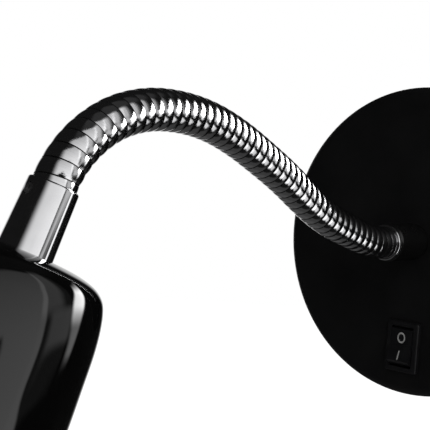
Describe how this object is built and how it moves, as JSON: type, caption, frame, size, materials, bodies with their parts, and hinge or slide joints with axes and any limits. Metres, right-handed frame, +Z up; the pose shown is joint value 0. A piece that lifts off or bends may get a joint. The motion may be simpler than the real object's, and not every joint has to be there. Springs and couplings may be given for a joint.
{
  "type": "wall reading lamp",
  "caption": "Wall reading lamp: round black wall plate with a rocker switch, bendable chrome gooseneck and a slim gloss black shade with its bulb.",
  "frame": {"origin": "on the wall, behind the middle of the wall plate", "axes": "+Z up, -Y straight out from the wall into the room, +X to the right for someone facing the wall"},
  "size_m": [0.104, 0.2297, 0.1275],
  "materials": {
    "plate_black": "satin black powder coat",
    "zinc_steel": "zinc-plated steel",
    "nickel_steel": "nickel-plated steel",
    "dark_steel": "blackened steel",
    "block_nylon": "natural nylon",
    "brass": "plain brass",
    "switch_black": "black moulded nylon",
    "rocker_black": "black moulded nylon, smooth",
    "chrome": "polished chrome plate",
    "collar_black": "gloss black",
    "flex_sheath": "black PVC sheath",
    "core_blue": "blue PVC",
    "core_brown": "brown PVC",
    "core_green": "green and yellow PVC",
    "shade_gloss_black": "high-gloss black lacquer, white inside",
    "holder_black": "black phenolic",
    "bulb_cap_metal": "rolled nickel-plated screw shell",
    "bulb_glass": "frosted glass"
  },
  "bodies": {
    "wall_unit": {"wall_plate": "plate_black", "mounting_bracket": "zinc_steel", "cover_screws": "nickel_steel", "terminal_block": "block_nylon", "clamp_screws": "zinc_steel", "block_screw": "zinc_steel", "earth_tag": "brass", "earth_screw": "zinc_steel", "switch_body": "switch_black", "switch_tabs": "brass", "root_nipple": "chrome", "collar": "collar_black", "lock_washer": "zinc_steel", "lock_nut": "brass", "root_flex": "flex_sheath", "lead_neutral": "core_blue", "lead_live": "core_brown", "lead_switched": "core_brown", "lead_earth": "core_green"},
    "rocker": {"rocker": "rocker_black"},
    "neck_01": {"neck_link_01": "chrome", "neck_flex_01": "flex_sheath"},
    "neck_02": {"neck_link_02": "chrome", "neck_flex_02": "flex_sheath"},
    "neck_03": {"neck_link_03": "chrome", "neck_flex_03": "flex_sheath"},
    "neck_04": {"neck_link_04": "chrome", "neck_flex_04": "flex_sheath"},
    "neck_05": {"neck_link_05": "chrome", "neck_flex_05": "flex_sheath"},
    "neck_06": {"neck_link_06": "chrome", "neck_flex_06": "flex_sheath"},
    "neck_07": {"neck_link_07": "chrome", "neck_flex_07": "flex_sheath"},
    "neck_08": {"neck_link_08": "chrome", "neck_flex_08": "flex_sheath"},
    "neck_09": {"neck_link_09": "chrome", "neck_flex_09": "flex_sheath"},
    "neck_10": {"neck_link_10": "chrome", "neck_flex_10": "flex_sheath"},
    "neck_11": {"neck_link_11": "chrome", "neck_flex_11": "flex_sheath"},
    "head": {"neck_link_12": "chrome", "neck_flex_12": "flex_sheath", "neck_sleeve": "zinc_steel", "ferrule": "chrome", "grub_screw": "dark_steel", "holder_nipple": "brass", "head_flex": "flex_sheath", "shade": "shade_gloss_black", "holder_cap": "holder_black", "holder_shell": "holder_black", "holder_contacts": "brass", "bulb_cap": "bulb_cap_metal", "bulb_glass": "bulb_glass"}
  },
  "joints": [
    {"name": "rocker_tilt", "type": "hinge", "parent": "wall_unit", "child": "rocker", "pos_m": [-0.00358, -0.023, -0.03401], "axis": [0.9945, 0, -0.1045], "range_deg": [0, 20]},
    {"name": "neck_bend_01", "type": "hinge", "parent": "wall_unit", "child": "neck_01", "pos_m": [0, -0.04147, 0], "axis": [1, 0, 0], "range_deg": [-12, 12]},
    {"name": "neck_swing_02", "type": "hinge", "parent": "neck_01", "child": "neck_02", "pos_m": [0.00011, -0.0539, 0.00175], "axis": [-0.002, 0.2756, 0.9613], "range_deg": [-12, 12]},
    {"name": "neck_bend_03", "type": "hinge", "parent": "neck_02", "child": "neck_03", "pos_m": [0.00044, -0.06598, 0.00532], "axis": [0.9994, 0.0339, -0.0078], "range_deg": [-12, 12]},
    {"name": "neck_swing_04", "type": "hinge", "parent": "neck_03", "child": "neck_04", "pos_m": [0.00109, -0.07773, 0.00978], "axis": [-0.0089, 0.4145, 0.91], "range_deg": [-12, 12]},
    {"name": "neck_bend_05", "type": "hinge", "parent": "neck_04", "child": "neck_05", "pos_m": [0.00212, -0.08899, 0.01534], "axis": [0.9955, 0.0897, -0.0322], "range_deg": [-12, 12]},
    {"name": "neck_swing_06", "type": "hinge", "parent": "neck_05", "child": "neck_06", "pos_m": [0.00337, -0.1003, 0.02075], "axis": [-0.0051, 0.3908, 0.9205], "range_deg": [-12, 12]},
    {"name": "neck_bend_07", "type": "hinge", "parent": "neck_06", "child": "neck_07", "pos_m": [0.00478, -0.1119, 0.02544], "axis": [0.9926, 0.1136, -0.0423], "range_deg": [-12, 12]},
    {"name": "neck_swing_08", "type": "hinge", "parent": "neck_07", "child": "neck_08", "pos_m": [0.00636, -0.12379, 0.0293], "axis": [0.0118, 0.2598, 0.9656], "range_deg": [-12, 12]},
    {"name": "neck_bend_09", "type": "hinge", "parent": "neck_08", "child": "neck_09", "pos_m": [0.00797, -0.13606, 0.03157], "axis": [0.9915, 0.1219, -0.0449], "range_deg": [-12, 12]},
    {"name": "neck_swing_10", "type": "hinge", "parent": "neck_09", "child": "neck_10", "pos_m": [0.00942, -0.14856, 0.03192], "axis": [0.0491, -0.0404, 0.998], "range_deg": [-12, 12]},
    {"name": "neck_bend_11", "type": "hinge", "parent": "neck_10", "child": "neck_11", "pos_m": [0.01029, -0.16091, 0.02979], "axis": [0.9971, 0.0534, -0.0546], "range_deg": [-12, 12]},
    {"name": "neck_swing_12", "type": "hinge", "parent": "neck_11", "child": "head", "pos_m": [0.01007, -0.17196, 0.02392], "axis": [0.0634, -0.6327, 0.7718], "range_deg": [-12, 12]}
  ]
}
